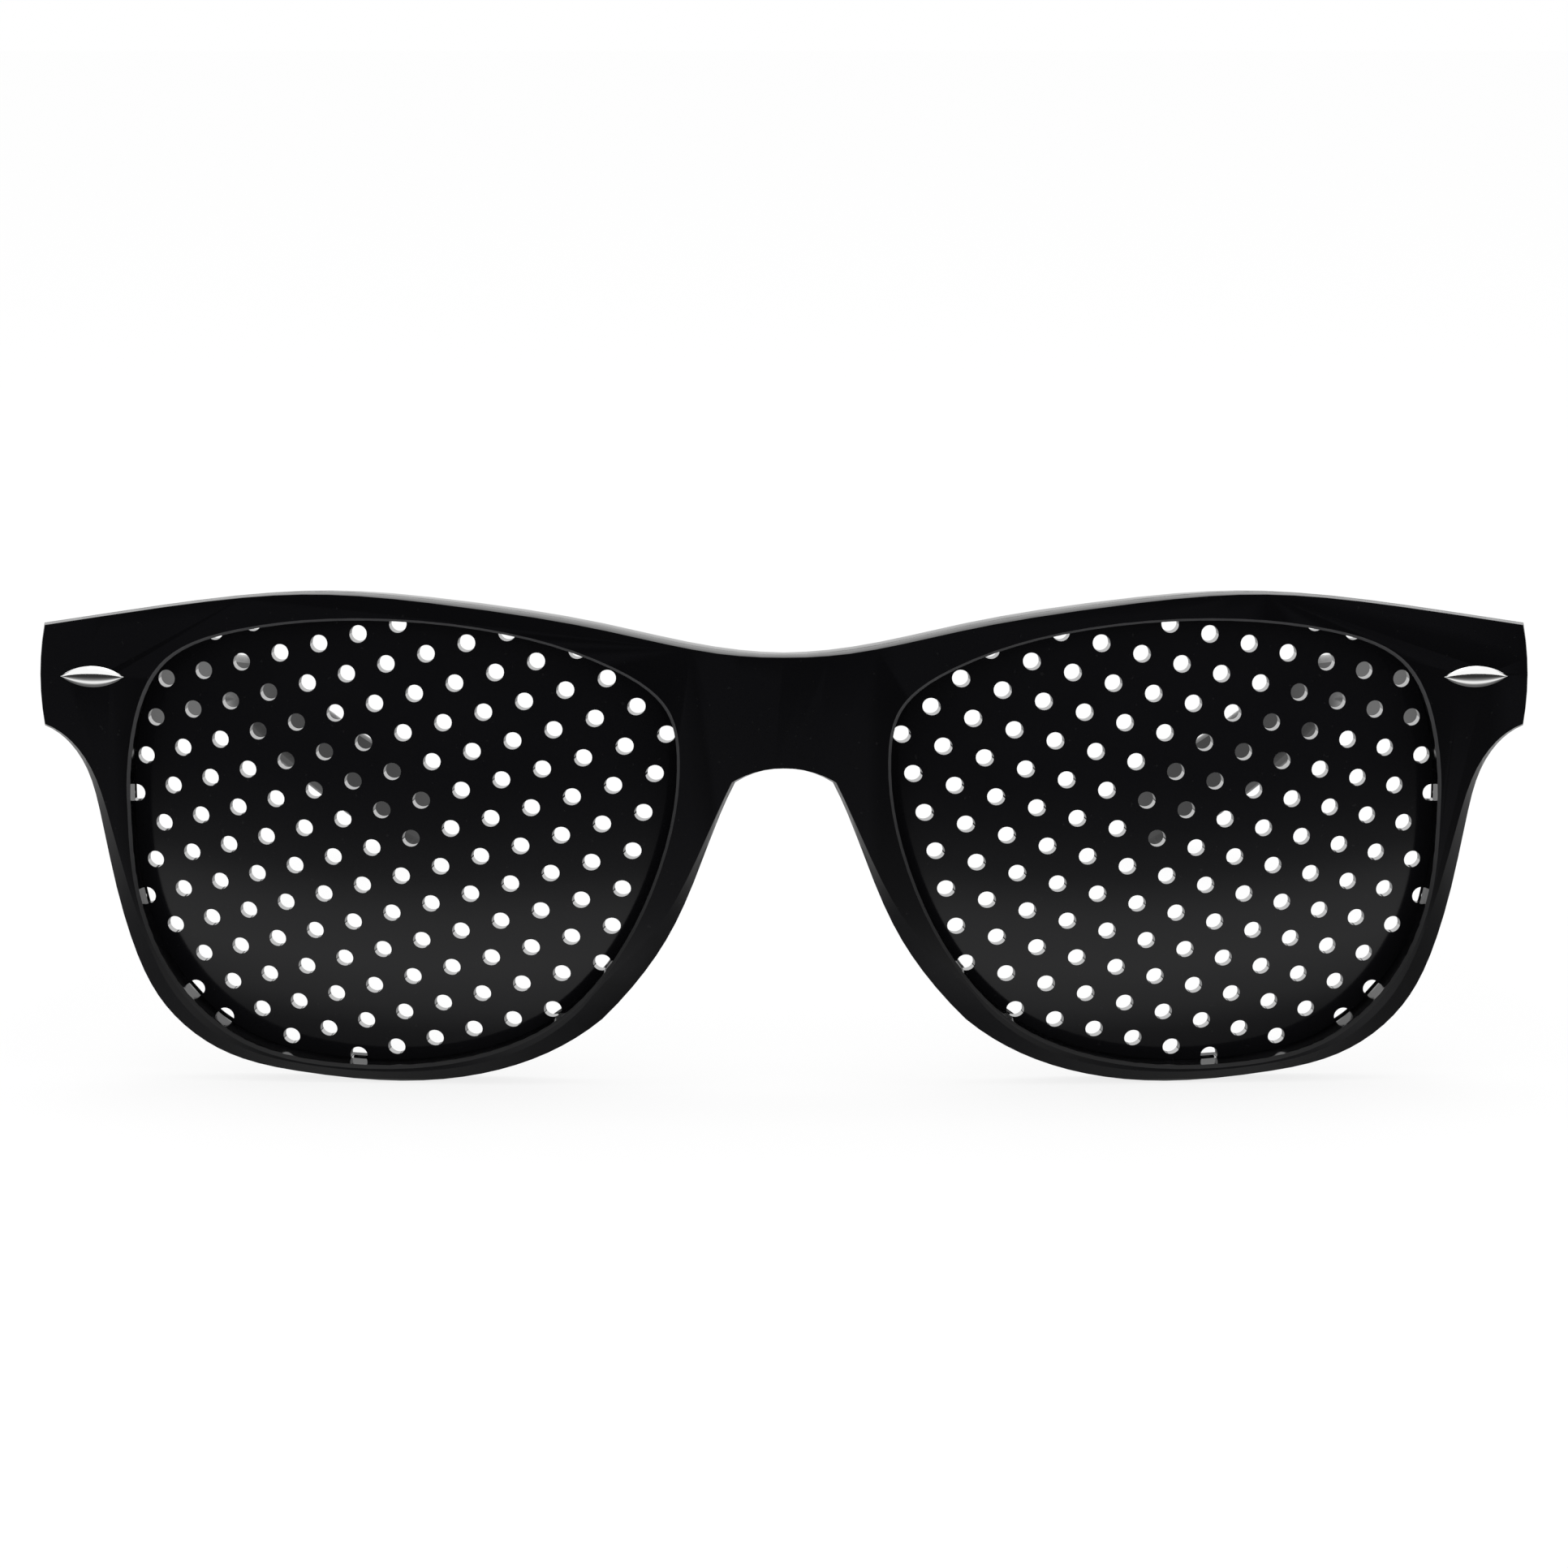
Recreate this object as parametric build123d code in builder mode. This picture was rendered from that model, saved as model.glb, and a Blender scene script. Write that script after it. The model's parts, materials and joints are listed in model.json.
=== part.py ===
from build123d import *
import os
from math import asin, atan2, ceil, cos, degrees, hypot, radians, sin, sqrt, tan

os.makedirs("parts", exist_ok=True)

# Front. One half is drawn from the middle of the bridge outwards, then mirrored.
half_width = 72.3
front_height = 49.5
front_thickness = 4.4
bevel_depth = 1.4
face_form = 3.6
pantoscopic = 15.4
bridge_step = 0.3
bridge_level = 12.0
bridge_lean = 0.8
bridge_half = 8.0

# Each row: across, up, how far the bevel draws the point in (across, up),
# and how much the wall behind it follows the temples instead of the front.
brow_shares = (
    (0.000, 0.387, 0.000, -0.006, 0.60),
    (0.115, 0.401, 0.000, -0.006, 0.60),
    (0.245, 0.440, 0.001, -0.006, 0.60),
    (0.441, 0.483, 0.001, -0.006, 0.62),
    (0.637, 0.502, 0.000, -0.006, 0.75),
    (0.807, 0.478, -0.001, -0.006, 0.90),
    (0.997, 0.433, -0.004, -0.006, 1.00),
)
end_bulge_share = 0.006
side_shares = (
    (1.001, 0.225, -0.004, 0.002, 1.00),
    (0.975, 0.200, -0.003, 0.006, 0.90),
    (0.947, 0.140, -0.008, 0.006, 0.60),
    (0.930, 0.050, -0.013, 0.005, 0.30),
    (0.914, -0.082, -0.019, 0.006, 0.00),
    (0.892, -0.215, -0.023, 0.011, 0.00),
    (0.851, -0.348, -0.020, 0.025, 0.00),
    (0.771, -0.447, -0.013, 0.027, 0.00),
    (0.652, -0.491, -0.003, 0.025, 0.00),
    (0.517, -0.504, 0.000, 0.028, 0.00),
    (0.383, -0.474, 0.007, 0.029, 0.00),
    (0.249, -0.368, 0.026, 0.029, 0.00),
)
nose_shares = (
    (0.249, -0.368, 0.026, 0.029, 0.00),
    (0.204, -0.294, 0.030, 0.025, 0.00),
    (0.158, -0.194, 0.019, 0.014, 0.00),
    (0.118, -0.062, 0.009, 0.006, 0.00),
    (0.084, 0.069, 0.004, 0.004, 0.00),
    (0.067, 0.123, 0.003, 0.007, 0.00),
)
arch_shares = (
    (0.034, 0.146, 0.001, 0.007, 0.00),
    (0.000, 0.153, 0.000, 0.007, 0.00),
)

# Lens opening: its nearest and farthest sides, and shares of its own width and height.
nose_side = 10.25
cheek_side = 8.55
rims_above_and_below = 4.6
window_chamfer = 0.3
window_shares = (
    (0.504, 0.089), (0.493, 0.228), (0.433, 0.388), (0.289, 0.463), (0.081, 0.489),
    (-0.184, 0.463), (-0.375, 0.392), (-0.480, 0.293), (-0.497, 0.189), (-0.464, -0.048),
    (-0.385, -0.252), (-0.265, -0.410), (-0.084, -0.497), (0.127, -0.510), (0.307, -0.458),
    (0.442, -0.298), (0.497, -0.092),
)

# Moulded nose pad behind the nose side of each rim. Its sections are shares of depth, length and width.
pad_centre_shares = (0.159, -0.097)
pad_angle = -62.5
pad_depth = 3.2
pad_half_length = 9.2
pad_half_width = 1.35
pad_section_shares = ((0.0, 1.0, 1.0), (0.6, 0.96, 0.9), (1.0, 0.88, 0.5))

# Pinhole plates: toric sheets, curved across and up, snapped into a groove in the rims.
plate_radius = 111.4
plate_radius_up = 106.0
plate_thickness = 0.9
plate_proud = 0.35
plate_lap = 1.0
groove_ease = 0.05
pinhole_diameter = 1.9
pinhole_pitch = 3.99
pinhole_sides = 6
pinhole_margin = 0.3
lattice_turn = -15.0
mould_turn = 8.1
lattice_shift_shares = (-0.116, 0.033)

# Almond shields on the end pieces, on two pins each.
shield_inset = 5.0
shield_drop = 0.2
shield_length = 6.2
shield_height = 2.5
shield_edge = 0.2
shield_rise = 0.5
shield_pin_radius = 0.45
shield_pin_length = 2.0
shield_pin_spacing = 2.8
shield_pin_ease = 0.05

# Temples. Plan shares: of the length, and of the outer face's distance from the middle.
# Thickness shares are for the same places from the second on.
temple_inset = 0.3
temple_thickness = 4.8
temple_height = 8.8
temple_length = 140.4
temple_straight = 11.0
temple_round = 1.0
temple_outer_shares = (
    (0.077, 0.985), (0.277, 0.933), (0.483, 0.885), (0.554, 0.861), (0.768, 0.751), (1.020, 0.618),
)
temple_thickness_shares = (0.765, 0.690, 0.660, 0.615, 0.630)

# Side view shares: of the length, and of the height at the hinge. The tip is a full round.
temple_bend_share = 0.54
temple_top_shares = ((0.654, 0.739), (0.768, 0.284))
temple_under_shares = (
    (0.811, -0.989), (0.683, -0.420), (0.576, 0.057), (0.483, 0.375), (0.376, 0.068),
    (0.277, -0.170), (0.149, -0.205), (0.063, -0.160),
)
tip_radius = 4.7
tip_drop_share = 0.97
tip_angle = -13

# End block behind each end piece, which the temple butts against.
block_depth = 4.4
block_inset = 0.1
block_wall = 0.5
butt_gap = 0.3

# Three knuckle hinge with its leaves let into the end block and the temple.
knuckle_radius = 1.5
knuckle_height = 2.4
knuckle_gap = 0.1
knuckle_count = 3
knuckle_swing_gap = 0.2
knuckle_side_gap = 0.3
leaf_thickness = 0.9
leaf_ease = 0.05
front_leaf_width = 3.0
temple_leaf_length = 10.5
temple_leaf_height = 6.4
screw_radius = 0.7
screw_hold_ease = 0.03
screw_running_ease = 0.05
screw_head_radius = 1.2
screw_head_height = 0.6
screw_slot_width = 0.35
screw_slot_depth = 0.25

# Sizes that follow from those above. Temple sizes are: across, back from the bridge, up.
window_width = half_width - nose_side - cheek_side
window_height = front_height - rims_above_and_below
lens_centre = nose_side + window_width / 2
shape_angle = radians(face_form)
drop_angle = radians(pantoscopic)

end_share = (brow_shares[-1][1] + side_shares[0][1]) / 2
end_rise = end_share * front_height
end_depth = half_width * sin(shape_angle)
end_back = end_depth * cos(drop_angle) - end_rise * sin(drop_angle)
shield_spot = (half_width - shield_inset, end_rise - shield_drop)

hinge_up = end_rise * cos(drop_angle) + end_depth * sin(drop_angle)
temple_bottom = hinge_up - temple_height / 2
temple_outer = half_width - temple_inset
temple_inner = temple_outer - temple_thickness
hinge_across = temple_inner - knuckle_radius - knuckle_side_gap
block_back = end_back + front_thickness + block_depth
block_front = end_back + front_thickness / 2
block_outer = temple_outer - block_inset
block_inner = hinge_across - knuckle_radius - block_wall
block_height = temple_height - 2 * block_inset
hinge_back = block_back + knuckle_swing_gap + knuckle_radius
temple_front = block_back + butt_gap
tip_back = temple_front + temple_length - tip_radius
tip_up = temple_bottom - tip_drop_share * temple_height

knuckle_pitch = knuckle_height + knuckle_gap
hinge_height = knuckle_count * knuckle_pitch - knuckle_gap
hinge_low = hinge_up - hinge_height / 2
front_leaf_centre = hinge_across - knuckle_radius + front_leaf_width / 2
through = 2 * front_thickness

# Resting pose: the rims and the rounded temple tips stand on z = 0.
foot_depth = lens_centre * sin(shape_angle) + bevel_depth * cos(shape_angle)
foot_drop = front_height * -min(row[1] for row in side_shares)
foot_back = foot_drop * sin(drop_angle) + foot_depth * cos(drop_angle)
foot_up = foot_depth * sin(drop_angle) - foot_drop * cos(drop_angle)
foot_to_tip = hypot(tip_back - foot_back, tip_up - foot_up)
tilt = atan2(tip_up - foot_up, tip_back - foot_back) - asin(tip_radius / foot_to_tip)
lean = drop_angle - tilt

# The origin is on the table under the middle of the pair; the apex is between the two halves' faces.
reach_front = front_height * brow_shares[0][1] * sin(lean) - bridge_step * cos(lean)
reach_back = tip_back * cos(tilt) + tip_up * sin(tilt) + tip_radius
apex_y = (reach_front - reach_back) / 2
apex_z = foot_back * sin(tilt) - foot_up * cos(tilt)
apex = (0, apex_y, apex_z)

front_plane = Plane(origin=apex, x_dir=(1, 0, 0), z_dir=(0, -cos(lean), -sin(lean)))
rim_plane = Plane(front_plane * Rot(0, face_form, 0))
bridge_plane = Plane(front_plane * Pos(0, bridge_level, -bridge_step) * Rot(-bridge_lean, 0, 0))
side_plane = Plane(origin=apex, x_dir=(0, cos(tilt), -sin(tilt)), z_dir=(1, 0, 0))
top_plane = Plane(origin=apex, x_dir=(1, 0, 0), z_dir=(0, sin(tilt), cos(tilt)))
crown_plane = Plane(rim_plane * Pos(lens_centre, 0, plate_proud - plate_radius))
mould_plane = Plane(crown_plane * Rot(0, mould_turn, 0))
knuckle_planes = [top_plane.offset(hinge_low + turn * knuckle_pitch) for turn in range(knuckle_count)]


def rim_outline(bevel, depth):
    """Outline of one half of the front, eased in by the bevel, at a depth behind its face."""

    def place(row):
        across, up, bevel_across, bevel_up, follow = row
        drop = follow * depth * tan(drop_angle)
        return (
            (across + bevel * bevel_across) * half_width,
            (up + bevel * bevel_up) * front_height - drop,
        )

    with BuildSketch(rim_plane.offset(-depth)) as outline:
        with BuildLine():
            brow = Spline(*[place(row) for row in brow_shares])
            side_start = place(side_shares[0])
            bulge = ((brow @ 1) + Vector(*side_start)) / 2 + Vector(end_bulge_share * half_width, 0)
            ThreePointArc(brow @ 1, bulge, side_start)
            Spline(*[place(row) for row in side_shares])
            nose = Spline(*[place(row) for row in nose_shares])
            arch = ThreePointArc(nose @ 1, *[place(row) for row in arch_shares])
            Line(arch @ 1, brow @ 0)
        make_face()
    return outline.sketch


def window_outline(growth, depth):
    """Outline of the lens opening, grown outwards all round, at a depth behind the rim's face."""
    wide = window_width + 2 * growth
    high = window_height + 2 * growth
    with BuildSketch(rim_plane.offset(-depth)) as window:
        with BuildLine():
            Spline(*[(lens_centre + across * wide, up * high) for across, up in window_shares], periodic=True)
        make_face()
    return window.sketch


def pad_section(depth_share, length_share, width_share):
    """Elliptical section of the nose pad, behind the back of the rim."""
    across_share, up_share = pad_centre_shares
    with BuildSketch(rim_plane.offset(-front_thickness - depth_share * pad_depth)) as section:
        with Locations((across_share * half_width, up_share * front_height)):
            Ellipse(length_share * pad_half_length, width_share * pad_half_width, rotation=pad_angle)
    return section.sketch


def curved_sheet(lap, ease):
    """Toric sheet that closes the lens opening and laps behind its rim."""
    swing = degrees(asin(window_width / plate_radius))
    lift = degrees(asin(window_height / plate_radius_up))
    middle = (plate_radius - plate_radius_up, 0)
    with BuildPart() as sheet:
        with BuildSketch(Plane(crown_plane * Rot(0, -90 - swing, 0))):
            with BuildLine():
                face = CenterArc(middle, plate_radius_up + ease, -lift, 2 * lift)
                back = CenterArc(middle, plate_radius_up - plate_thickness - ease, -lift, 2 * lift)
                Line(face @ 0, back @ 0)
                Line(face @ 1, back @ 1)
            make_face()
        revolve(axis=Axis(crown_plane.origin, crown_plane.y_dir), revolution_arc=2 * swing)
        extrude(window_outline(lap, 0), amount=through, both=True, mode=Mode.INTERSECT)
    return sheet.part


def pinhole_spots():
    """Hexagonal lattice of pinholes, kept where it falls inside the lens opening."""
    window = window_outline(-pinhole_margin, 0).face()
    crown = mould_plane.to_local_coords(rim_plane.from_local_coords(Vector(lens_centre, 0, plate_proud)))
    shift = Vector(*[share * pinhole_pitch for share in lattice_shift_shares])
    start = Vector(crown.X, crown.Y) + shift
    reach = ceil(window_width / pinhole_pitch)
    spots = []
    for row in range(-reach, reach + 1):
        for column in range(-reach, reach + 1):
            step = Vector((column + row / 2) * pinhole_pitch, row * pinhole_pitch * sqrt(3) / 2)
            spot = start + step.rotate(Axis.Z, lattice_turn)
            rise = sqrt(max(plate_radius**2 - spot.X**2 - spot.Y**2, 0))
            seen = rim_plane.to_local_coords(mould_plane.from_local_coords(Vector(spot.X, spot.Y, rise)))
            if window.is_inside(rim_plane.from_local_coords(Vector(seen.X, seen.Y, 0))):
                spots.append((spot.X, spot.Y))
    return spots


def arm_plan(shares):
    """Points of the temple's outer face, seen from above."""
    return [(across * temple_outer, temple_front + back * temple_length) for back, across in shares]


def arm_inner(outer_points, shares):
    """Points of the temple's inner face, inwards of the outer ones by shares of the thickness."""
    return [(across - share * temple_thickness, back) for (across, back), share in zip(outer_points, shares)]


def arm_side(shares):
    """Points of the temple seen from the side."""
    return [(temple_front + back * temple_length, temple_bottom + up * temple_height) for back, up in shares]


# Front frame
with BuildPart() as front_frame:
    loft(
        sections=[rim_outline(1, 0), rim_outline(0, bevel_depth), rim_outline(0, front_thickness)],
        ruled=True,
    )
    extrude(window_outline(0, 0), amount=through, both=True, mode=Mode.SUBTRACT)
    for face_depth, inwards in ((0, window_chamfer), (front_thickness, -window_chamfer)):
        loft(
            sections=[
                window_outline(2 * window_chamfer, face_depth - inwards),
                window_outline(0, face_depth + inwards),
            ],
            ruled=True,
            mode=Mode.SUBTRACT,
        )
    loft(sections=[pad_section(*shares) for shares in pad_section_shares])
    # end block, square to the temple
    with BuildSketch(side_plane.offset(block_inner)):
        with Locations(((block_front + block_back) / 2, hinge_up)):
            Rectangle(block_back - block_front, block_height)
    extrude(amount=block_outer - block_inner)
    # groove for the pinhole plate
    add(curved_sheet(plate_lap + groove_ease, groove_ease), mode=Mode.SUBTRACT)
    # pocket for the hinge leaf
    with BuildSketch(top_plane.offset(hinge_low - leaf_ease)):
        with Locations((front_leaf_centre, block_back)):
            Rectangle(front_leaf_width + 2 * leaf_ease, 2 * (leaf_thickness + leaf_ease))
    extrude(amount=hinge_height + 2 * leaf_ease, mode=Mode.SUBTRACT)
    # pin holes for the shield
    with BuildSketch(rim_plane):
        with Locations(shield_spot):
            with GridLocations(shield_pin_spacing, 0, 2, 1):
                Circle(shield_pin_radius + shield_pin_ease)
    extrude(amount=-(shield_pin_length + shield_pin_ease), mode=Mode.SUBTRACT)
    # the half ends at the middle, where it meets its mirror image
    split(bisect_by=Plane.YZ)
    mirror(about=Plane.YZ)
    # facet across the bridge, where the two halves would meet in a ridge
    with BuildSketch(bridge_plane):
        Rectangle(2 * bridge_half, front_height)
    extrude(amount=through, mode=Mode.SUBTRACT)
front_frame.part.label = "front_frame"
export_step(front_frame.part, "parts/front_frame.step")

# Pinhole plate
with BuildPart() as pinhole_plate:
    add(curved_sheet(plate_lap, 0))
    with BuildSketch(mould_plane.offset(plate_radius - through)):
        with Locations(*pinhole_spots()):
            RegularPolygon(pinhole_diameter / 2, pinhole_sides, major_radius=False)
    extrude(amount=2 * through, mode=Mode.SUBTRACT)

# Shield: an almond crowned both ways, and its pins
with BuildPart() as front_shield:
    shield_crown = shield_edge + shield_rise
    along_radius = ((shield_length / 2) ** 2 + shield_rise**2) / (2 * shield_rise)
    across_radius = ((shield_height / 2) ** 2 + shield_rise**2) / (2 * shield_rise)
    with BuildSketch(Plane(rim_plane * Pos(*shield_spot))):
        with BuildLine():
            upper = ThreePointArc((-shield_length / 2, 0), (0, shield_height / 2), (shield_length / 2, 0))
            ThreePointArc(upper @ 1, (0, -shield_height / 2), upper @ 0)
        make_face()
    extrude(amount=shield_crown)
    with Locations(rim_plane * Pos(*shield_spot, shield_crown - across_radius) * Rot(0, 90, 0)):
        Cylinder(across_radius, 2 * shield_length, mode=Mode.INTERSECT)
    with Locations(rim_plane * Pos(*shield_spot, shield_crown - along_radius)):
        Sphere(along_radius, mode=Mode.INTERSECT)
    with BuildSketch(rim_plane):
        with Locations(shield_spot):
            with GridLocations(shield_pin_spacing, 0, 2, 1):
                Circle(shield_pin_radius)
    extrude(amount=-shield_pin_length)

# Temple: the plan of the arm cut to its side view
with BuildPart() as temple:
    with BuildSketch(top_plane):
        with BuildLine():
            outer_points = arm_plan(temple_outer_shares)
            outer = Spline((temple_outer, temple_front), *outer_points)
            inner = Line((temple_inner, temple_front), (temple_inner, temple_front + temple_straight))
            bend = Spline(inner @ 1, *arm_inner(outer_points[1:], temple_thickness_shares))
            Line(outer @ 0, inner @ 0)
            Line(outer @ 1, bend @ 1)
        make_face()
    extrude(amount=temple_length, both=True)
    with BuildSketch(side_plane):
        slope = radians(tip_angle)
        tip_top = (tip_back - tip_radius * sin(slope), tip_up + tip_radius * cos(slope))
        tip_end = (tip_back + tip_radius * cos(slope), tip_up + tip_radius * sin(slope))
        tip_under = (tip_back + tip_radius * sin(slope), tip_up - tip_radius * cos(slope))
        top_start, top_end = arm_side(((0, 1), (temple_bend_share, 1)))
        with BuildLine():
            Line(top_start, top_end)
            Spline(
                top_end,
                *arm_side(temple_top_shares),
                tip_top,
                tangents=[(1, 0), (cos(slope), sin(slope))],
            )
            ThreePointArc(tip_top, tip_end, tip_under)
            Spline(tip_under, *arm_side(temple_under_shares), (temple_front, temple_bottom))
            Line((temple_front, temple_bottom), top_start)
        make_face()
    extrude(amount=2 * temple_outer, mode=Mode.INTERSECT)
    arm_axis = Axis(apex, side_plane.x_dir)
    fillet(temple.edges().sort_by(arm_axis)[4:], radius=temple_round)
    # pocket for the hinge leaf
    with BuildSketch(top_plane.offset(hinge_up - temple_leaf_height / 2 - leaf_ease)):
        with Locations((temple_inner, hinge_back + temple_leaf_length / 2)):
            Rectangle(2 * (leaf_thickness + leaf_ease), temple_leaf_length + 2 * leaf_ease)
    extrude(amount=temple_leaf_height + 2 * leaf_ease, mode=Mode.SUBTRACT)

# Hinge leaf in the front: the outer knuckles on a plate
with BuildPart() as front_hinge_leaf:
    with BuildSketch(top_plane.offset(hinge_low)):
        with Locations((front_leaf_centre, block_back - leaf_thickness / 2)):
            Rectangle(front_leaf_width, leaf_thickness)
    extrude(amount=hinge_height)
    with BuildSketch(*knuckle_planes[0::2]):
        with Locations((hinge_across, hinge_back)):
            Circle(knuckle_radius)
            Rectangle(
                knuckle_radius,
                hinge_back - block_back + leaf_thickness / 2,
                align=(Align.MAX, Align.MAX),
            )
    extrude(amount=knuckle_height)
    with BuildSketch(top_plane.offset(hinge_low)):
        with Locations((hinge_across, hinge_back)):
            Circle(screw_radius + screw_hold_ease)
    extrude(amount=hinge_height, mode=Mode.SUBTRACT)

# Hinge leaf in the temple: the knuckles between those of the front
with BuildPart() as temple_hinge_leaf:
    with BuildSketch(top_plane.offset(hinge_up - temple_leaf_height / 2)):
        with Locations((temple_inner + leaf_thickness / 2, hinge_back + temple_leaf_length / 2)):
            Rectangle(leaf_thickness, temple_leaf_length)
    extrude(amount=temple_leaf_height)
    with BuildSketch(*knuckle_planes[1::2]):
        with Locations((hinge_across, hinge_back)):
            Circle(knuckle_radius)
            Rectangle(
                temple_inner - hinge_across + leaf_thickness / 2,
                knuckle_radius,
                align=(Align.MIN, Align.MIN),
            )
    extrude(amount=knuckle_height)
    with BuildSketch(top_plane.offset(hinge_low)):
        with Locations((hinge_across, hinge_back)):
            Circle(screw_radius + screw_running_ease)
    extrude(amount=hinge_height, mode=Mode.SUBTRACT)

# Screw through all the knuckles
with BuildPart() as hinge_screw:
    with BuildSketch(top_plane.offset(hinge_low)):
        with Locations((hinge_across, hinge_back)):
            Circle(screw_radius)
    extrude(amount=hinge_height)
    with BuildSketch(top_plane.offset(hinge_low + hinge_height)):
        with Locations((hinge_across, hinge_back)):
            Circle(screw_head_radius)
    extrude(amount=screw_head_height)
    with BuildSketch(top_plane.offset(hinge_low + hinge_height + screw_head_height)):
        with Locations((hinge_across, hinge_back)):
            Rectangle(2 * screw_head_radius, screw_slot_width)
    extrude(amount=-screw_slot_depth, mode=Mode.SUBTRACT)

# The wearer's left is drawn above, and the right is its mirror image.
drawn = {
    "pinhole_plate": pinhole_plate,
    "front_shield": front_shield,
    "temple": temple,
    "front_hinge_leaf": front_hinge_leaf,
    "temple_hinge_leaf": temple_hinge_leaf,
    "hinge_screw": hinge_screw,
}
for name, left in drawn.items():
    with BuildPart() as right:
        mirror(left.part, about=Plane.YZ)
    for side, piece in (("left", left), ("right", right)):
        piece.part.label = f"{side}_{name}"
        export_step(piece.part, f"parts/{side}_{name}.step")
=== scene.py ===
import json
from math import atan2, cos, hypot, pi, radians, sin, sqrt, tan

import bmesh
import bpy
from mathutils import Matrix, Vector
from mathutils.geometry import delaunay_2d_cdt, intersect_point_line


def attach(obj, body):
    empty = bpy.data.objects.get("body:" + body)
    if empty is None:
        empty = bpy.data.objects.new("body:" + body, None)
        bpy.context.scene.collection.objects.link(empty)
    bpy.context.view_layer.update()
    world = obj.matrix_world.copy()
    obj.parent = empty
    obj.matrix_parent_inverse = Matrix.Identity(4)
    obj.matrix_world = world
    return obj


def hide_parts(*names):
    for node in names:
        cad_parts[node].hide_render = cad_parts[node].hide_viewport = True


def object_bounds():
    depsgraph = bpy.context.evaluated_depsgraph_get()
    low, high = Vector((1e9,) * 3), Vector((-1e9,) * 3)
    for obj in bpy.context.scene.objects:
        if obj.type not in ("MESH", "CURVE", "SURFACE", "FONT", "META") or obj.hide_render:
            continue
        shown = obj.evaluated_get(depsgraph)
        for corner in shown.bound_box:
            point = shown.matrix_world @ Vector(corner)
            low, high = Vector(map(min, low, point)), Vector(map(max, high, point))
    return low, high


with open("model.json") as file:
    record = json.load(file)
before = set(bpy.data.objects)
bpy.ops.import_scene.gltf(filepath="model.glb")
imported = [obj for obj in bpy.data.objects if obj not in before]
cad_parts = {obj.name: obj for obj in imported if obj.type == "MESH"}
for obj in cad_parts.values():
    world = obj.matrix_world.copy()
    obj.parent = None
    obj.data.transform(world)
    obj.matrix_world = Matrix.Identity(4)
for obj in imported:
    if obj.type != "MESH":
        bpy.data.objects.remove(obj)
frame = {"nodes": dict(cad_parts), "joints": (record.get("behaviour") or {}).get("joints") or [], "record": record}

bl_info = {
    "name": "Pinhole glasses",
    "version": (1, 0, 0),
    "blender": (4, 5, 0),
    "location": "3D View > Sidebar > Glasses",
    "description": "Finishes a pair of pinhole glasses and lights it for a product picture",
    "category": "Object",
}

CAD_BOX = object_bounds()
SIDES = ("left", "right")
MM = 0.001

# How the CAD nodes are read: points this near are one, faces this level are one, and edges sharper than
# this are rounded.
WELD = 1e-7
LEVEL = radians(0.3)
SHARP = radians(25)

# Number of a piece's second material: the front's lips, with their painted highlight, and the plates' pinhole
# walls.
SECOND_FINISH = 1

# The CAD plate: how near its sheet a vertex lies, and the six-sided pinholes that aren't part of its edge.
ON_SHEET = 0.004 * MM
CAD_HOLE_CLEAR = 1.19 * MM
CAD_PITCH = 3.99 * MM
CAD_SHIFT = (-0.463 * MM, 0.132 * MM)

# Plastic: index, sheen, depth of the flow waves, share of wear on edges, and dust. The plates wear nowhere,
# because their points lie only on rims, where wear would spread in triangles.
PLASTIC_INDEX = 1.49
WALL_INDEX = 3.0
FRONT_SHEEN = 0.21
PLATE_SHEEN = 0.30
FRONT_FLOW = 0.02 * MM
PLATE_FLOW = 0.008 * MM
FRONT_WEAR = 0.35
PLATE_WEAR = 0
DUST = (0.05, 0.05, 0.05)

# The lip round the lens openings, whose colour is a painted highlight: heights from the rim's face, how its faces
# lean, and the heights above the floor where the painted highlight is dark and where it is pale.
LIP_DEPTH = 0.45 * MM
LIP_RISE = 0.05 * MM
LIP_LEAN = 0.98
LIP_LOW = 12 * MM
LIP_HIGH = 40 * MM

# Pinhole plates: the last two are shares of a pinhole's width, its least distance from the plate's edge
# and the easing of its own edges. The wall is the third ring of faces in a pinhole.
LATTICE_REACH = 14
HOLE_SIDES = 24
HOLE_WALL = 2
OUTLINE_STEPS = 240
TRIANGLE_GAP = 1e-9
MARGIN_SHARE = 0.48
EASE_SHARE = 0.02

# Shields: the upright edge and its easing, where the ridge runs as a share of the half height, and how the
# crown falls away from it.
SHIELD_EDGE = 0.2 * MM
SHIELD_EASE = 0.05 * MM
SHIELD_RIDGE = 0.04
SHIELD_CREST = 2.4
SHIELD_SHARP = radians(40)
SHIELD_STEPS_LONG = 40
SHIELD_STEPS_WIDE = 12
SHIELD_PIN_RADIUS = 0.45 * MM
SHIELD_PIN_SPREAD = 1.4 * MM

# Grain of the metals.
LEAF_GRAIN = 0.06 * MM
SCREW_GRAIN = 0.03 * MM

# Stage: the floor glows a little where it is seen, so that it looks white.
FLOOR_HALF = 3.0
FLOOR_GRAIN = 20 * MM
FLOOR_GLOW = 1.15
FLOOR_GLOW_SHARE = 0.7
# The card is seen only in reflections, as a painted reflection of the floor and its shade.
CARD_LIFT = 0.2 * MM
CARD_LENGTH = 0.62
CARD_BEND = 0.30
CARD_HALF = 1.2
CARD_STEPS = 8
# The card's tones, a painted reflection of the floor with a painted shadow just under the glasses: distance ahead
# of the glasses, and the grey there.
CARD_TONES = (
    (-400 * MM, 0.50), (-60 * MM, 0.50), (-25 * MM, 0.42), (-9 * MM, 0.20), (-3 * MM, 0.26), (2 * MM, 0.70),
    (10 * MM, 0.95), (23 * MM, 0.80), (40 * MM, 0.30), (67 * MM, 0.12), (110 * MM, 0.04), (150 * MM, 0.03),
)
SOFTBOX_SIDE = 0.6
SOFTBOX_PLACE = (0, -0.1, 0.9)


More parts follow.
